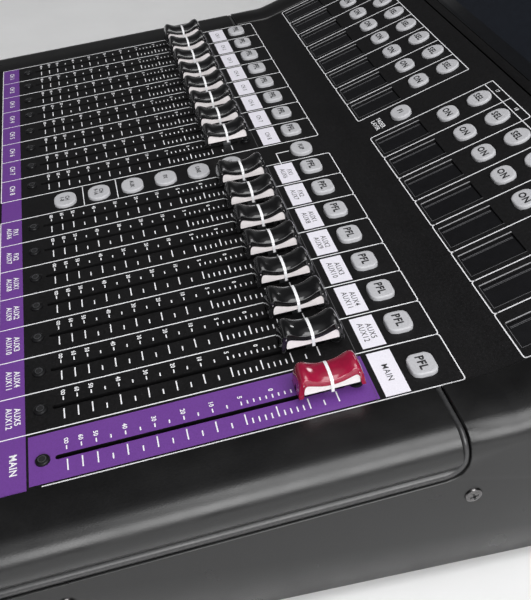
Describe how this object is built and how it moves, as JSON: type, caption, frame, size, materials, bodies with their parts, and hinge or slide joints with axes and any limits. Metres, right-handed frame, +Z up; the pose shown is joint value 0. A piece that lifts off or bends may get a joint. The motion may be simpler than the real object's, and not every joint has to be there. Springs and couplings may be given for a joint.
{
  "type": "mixing console",
  "caption": "Compact digital mixing console with two banks of long faders, rows of silicone keys, channel displays, a tilted touch screen with encoders and a wrap-round palm rest.",
  "frame": {"origin": "centre of the bounding box at table level, under the four feet", "axes": "+X to the right of a person working at the faders, +Y towards the rear connectors, +Z up"},
  "size_m": [0.4226, 0.4046, 0.1788],
  "materials": {
    "panel_paint": "fine matt texture",
    "case_plastic": "fine grain, satin",
    "case_paint": "matt",
    "screen_glass": "gloss",
    "smoke_lens": "smoky gloss",
    "zinc_steel": "satin",
    "board": "satin",
    "foot_rubber": "matt",
    "cap_black": "high gloss",
    "cap_red": "high gloss",
    "knob_plastic": "satin",
    "key_silicone": "satin"
  },
  "bodies": {
    "console": {"top_panel": "panel_paint", "palm_rest": "case_plastic", "side_cheek_left": "case_plastic", "side_cheek_right": "case_plastic", "front_apron": "case_paint", "base_pan": "case_paint", "rear_panel": "case_paint", "screen_housing": "panel_paint", "touch_screen": "screen_glass", "display_lens_left": "smoke_lens", "display_lens_right": "smoke_lens", "fader_tray_left": "zinc_steel", "fader_tray_right": "zinc_steel", "foot_front_left": "foot_rubber", "foot_front_right": "foot_rubber", "foot_rear_left": "foot_rubber", "foot_rear_right": "foot_rubber", "xlr_input_block": "zinc_steel", "xlr_output_block": "zinc_steel", "mains_inlet": "case_plastic", "network_usb_block": "zinc_steel", "headphone_jack": "zinc_steel", "deck_key_board": "board", "slope_key_board": "board", "main_board": "board", "power_supply": "zinc_steel"},
    "fader_cap_main_slider": {"fader_cap_main": "cap_red"},
    "fader_cap_right_7_slider": {"fader_cap_right_7": "cap_black"},
    "fader_cap_right_6_slider": {"fader_cap_right_6": "cap_black"},
    "fader_cap_right_5_slider": {"fader_cap_right_5": "cap_black"},
    "fader_cap_right_4_slider": {"fader_cap_right_4": "cap_black"},
    "fader_cap_right_3_slider": {"fader_cap_right_3": "cap_black"},
    "fader_cap_right_2_slider": {"fader_cap_right_2": "cap_black"},
    "fader_cap_right_1_slider": {"fader_cap_right_1": "cap_black"},
    "fader_cap_left_8_slider": {"fader_cap_left_8": "cap_black"},
    "fader_cap_left_7_slider": {"fader_cap_left_7": "cap_black"},
    "fader_cap_left_6_slider": {"fader_cap_left_6": "cap_black"},
    "fader_cap_left_5_slider": {"fader_cap_left_5": "cap_black"},
    "fader_cap_left_4_slider": {"fader_cap_left_4": "cap_black"},
    "fader_cap_left_3_slider": {"fader_cap_left_3": "cap_black"},
    "fader_cap_left_2_slider": {"fader_cap_left_2": "cap_black"},
    "fader_cap_left_1_slider": {"fader_cap_left_1": "cap_black"},
    "pfl_keypad_left_keys": {"pfl_keypad_left": "key_silicone"},
    "pfl_keypad_right_keys": {"pfl_keypad_right": "key_silicone"},
    "on_keypad_left_keys": {"on_keypad_left": "key_silicone"},
    "on_keypad_right_keys": {"on_keypad_right": "key_silicone"},
    "sel_keypad_left_keys": {"sel_keypad_left": "key_silicone"},
    "sel_keypad_right_keys": {"sel_keypad_right": "key_silicone"},
    "layer_keypad_keys": {"layer_keypad": "key_silicone"},
    "flip_key_keys": {"flip_key": "key_silicone"},
    "user_key_keys": {"user_key": "key_silicone"},
    "encoder_1_knob": {"encoder_1": "knob_plastic"},
    "encoder_2_knob": {"encoder_2": "knob_plastic"},
    "encoder_3_knob": {"encoder_3": "knob_plastic"},
    "encoder_4_knob": {"encoder_4": "knob_plastic"},
    "encoder_5_knob": {"encoder_5": "knob_plastic"},
    "encoder_6_knob": {"encoder_6": "knob_plastic"},
    "jog_wheel_knob": {"jog_wheel": "knob_plastic"},
    "power_rocker_switch": {"power_rocker": "knob_plastic"}
  },
  "joints": [
    {"name": "fader_main_travel", "type": "slide", "parent": "console", "child": "fader_cap_main_slider", "axis": [0, 0.9942, 0.108], "range_m": [-0.1, 0]},
    {"name": "fader_right_7_travel", "type": "slide", "parent": "console", "child": "fader_cap_right_7_slider", "axis": [0, 0.9942, 0.108], "range_m": [-0.1, 0]},
    {"name": "fader_right_6_travel", "type": "slide", "parent": "console", "child": "fader_cap_right_6_slider", "axis": [0, 0.9942, 0.108], "range_m": [-0.1, 0]},
    {"name": "fader_right_5_travel", "type": "slide", "parent": "console", "child": "fader_cap_right_5_slider", "axis": [0, 0.9942, 0.108], "range_m": [-0.1, 0]},
    {"name": "fader_right_4_travel", "type": "slide", "parent": "console", "child": "fader_cap_right_4_slider", "axis": [0, 0.9942, 0.108], "range_m": [-0.1, 0]},
    {"name": "fader_right_3_travel", "type": "slide", "parent": "console", "child": "fader_cap_right_3_slider", "axis": [0, 0.9942, 0.108], "range_m": [-0.1, 0]},
    {"name": "fader_right_2_travel", "type": "slide", "parent": "console", "child": "fader_cap_right_2_slider", "axis": [0, 0.9942, 0.108], "range_m": [-0.1, 0]},
    {"name": "fader_right_1_travel", "type": "slide", "parent": "console", "child": "fader_cap_right_1_slider", "axis": [0, 0.9942, 0.108], "range_m": [-0.1, 0]},
    {"name": "fader_left_8_travel", "type": "slide", "parent": "console", "child": "fader_cap_left_8_slider", "axis": [0, 0.9942, 0.108], "range_m": [-0.1, 0]},
    {"name": "fader_left_7_travel", "type": "slide", "parent": "console", "child": "fader_cap_left_7_slider", "axis": [0, 0.9942, 0.108], "range_m": [-0.1, 0]},
    {"name": "fader_left_6_travel", "type": "slide", "parent": "console", "child": "fader_cap_left_6_slider", "axis": [0, 0.9942, 0.108], "range_m": [-0.1, 0]},
    {"name": "fader_left_5_travel", "type": "slide", "parent": "console", "child": "fader_cap_left_5_slider", "axis": [0, 0.9942, 0.108], "range_m": [-0.1, 0]},
    {"name": "fader_left_4_travel", "type": "slide", "parent": "console", "child": "fader_cap_left_4_slider", "axis": [0, 0.9942, 0.108], "range_m": [-0.1, 0]},
    {"name": "fader_left_3_travel", "type": "slide", "parent": "console", "child": "fader_cap_left_3_slider", "axis": [0, 0.9942, 0.108], "range_m": [-0.1, 0]},
    {"name": "fader_left_2_travel", "type": "slide", "parent": "console", "child": "fader_cap_left_2_slider", "axis": [0, 0.9942, 0.108], "range_m": [-0.1, 0]},
    {"name": "fader_left_1_travel", "type": "slide", "parent": "console", "child": "fader_cap_left_1_slider", "axis": [0, 0.9942, 0.108], "range_m": [-0.1, 0]},
    {"name": "pfl_keypad_left_press", "type": "slide", "parent": "console", "child": "pfl_keypad_left_keys", "axis": [0, -0.108, 0.9942], "range_m": [-0.001, 0], "stiffness_N_per_m": 800, "springref_m": 0.001},
    {"name": "pfl_keypad_right_press", "type": "slide", "parent": "console", "child": "pfl_keypad_right_keys", "axis": [0, -0.108, 0.9942], "range_m": [-0.001, 0], "stiffness_N_per_m": 800, "springref_m": 0.001},
    {"name": "on_keypad_left_press", "type": "slide", "parent": "console", "child": "on_keypad_left_keys", "axis": [0, -0.3649, 0.9311], "range_m": [-0.001, 0], "stiffness_N_per_m": 800, "springref_m": 0.001},
    {"name": "on_keypad_right_press", "type": "slide", "parent": "console", "child": "on_keypad_right_keys", "axis": [0, -0.3649, 0.9311], "range_m": [-0.001, 0], "stiffness_N_per_m": 800, "springref_m": 0.001},
    {"name": "sel_keypad_left_press", "type": "slide", "parent": "console", "child": "sel_keypad_left_keys", "axis": [0, -0.3649, 0.9311], "range_m": [-0.001, 0], "stiffness_N_per_m": 800, "springref_m": 0.001},
    {"name": "sel_keypad_right_press", "type": "slide", "parent": "console", "child": "sel_keypad_right_keys", "axis": [0, -0.3649, 0.9311], "range_m": [-0.001, 0], "stiffness_N_per_m": 800, "springref_m": 0.001},
    {"name": "layer_keypad_press", "type": "slide", "parent": "console", "child": "layer_keypad_keys", "axis": [0, -0.108, 0.9942], "range_m": [-0.001, 0], "stiffness_N_per_m": 600, "springref_m": 0.001},
    {"name": "flip_key_press", "type": "slide", "parent": "console", "child": "flip_key_keys", "axis": [0, -0.108, 0.9942], "range_m": [-0.001, 0], "stiffness_N_per_m": 150, "springref_m": 0.001},
    {"name": "user_key_press", "type": "slide", "parent": "console", "child": "user_key_keys", "axis": [0, -0.3649, 0.9311], "range_m": [-0.001, 0], "stiffness_N_per_m": 150, "springref_m": 0.001},
    {"name": "encoder_1_turn", "type": "hinge", "parent": "console", "child": "encoder_1_knob", "pos_m": [0.06, 0.10766, 0.12675], "axis": [0, -0.6157, 0.788], "continuous": true},
    {"name": "encoder_2_turn", "type": "hinge", "parent": "console", "child": "encoder_2_knob", "pos_m": [0.06, 0.1313, 0.14522], "axis": [0, -0.6157, 0.788], "continuous": true},
    {"name": "encoder_3_turn", "type": "hinge", "parent": "console", "child": "encoder_3_knob", "pos_m": [0.06, 0.15494, 0.16368], "axis": [0, -0.6157, 0.788], "continuous": true},
    {"name": "encoder_4_turn", "type": "hinge", "parent": "console", "child": "encoder_4_knob", "pos_m": [0.096, 0.10766, 0.12675], "axis": [0, -0.6157, 0.788], "continuous": true},
    {"name": "encoder_5_turn", "type": "hinge", "parent": "console", "child": "encoder_5_knob", "pos_m": [0.096, 0.1313, 0.14522], "axis": [0, -0.6157, 0.788], "continuous": true},
    {"name": "encoder_6_turn", "type": "hinge", "parent": "console", "child": "encoder_6_knob", "pos_m": [0.096, 0.15494, 0.16368], "axis": [0, -0.6157, 0.788], "continuous": true},
    {"name": "jog_wheel_turn", "type": "hinge", "parent": "console", "child": "jog_wheel_knob", "pos_m": [0.146, 0.1376, 0.15014], "axis": [0, -0.6157, 0.788], "continuous": true},
    {"name": "power_rocker_tip", "type": "hinge", "parent": "console", "child": "power_rocker_switch", "pos_m": [0.14, 0.1958, 0.073], "axis": [1, 0, 0], "range_deg": [-16, 0]}
  ]
}
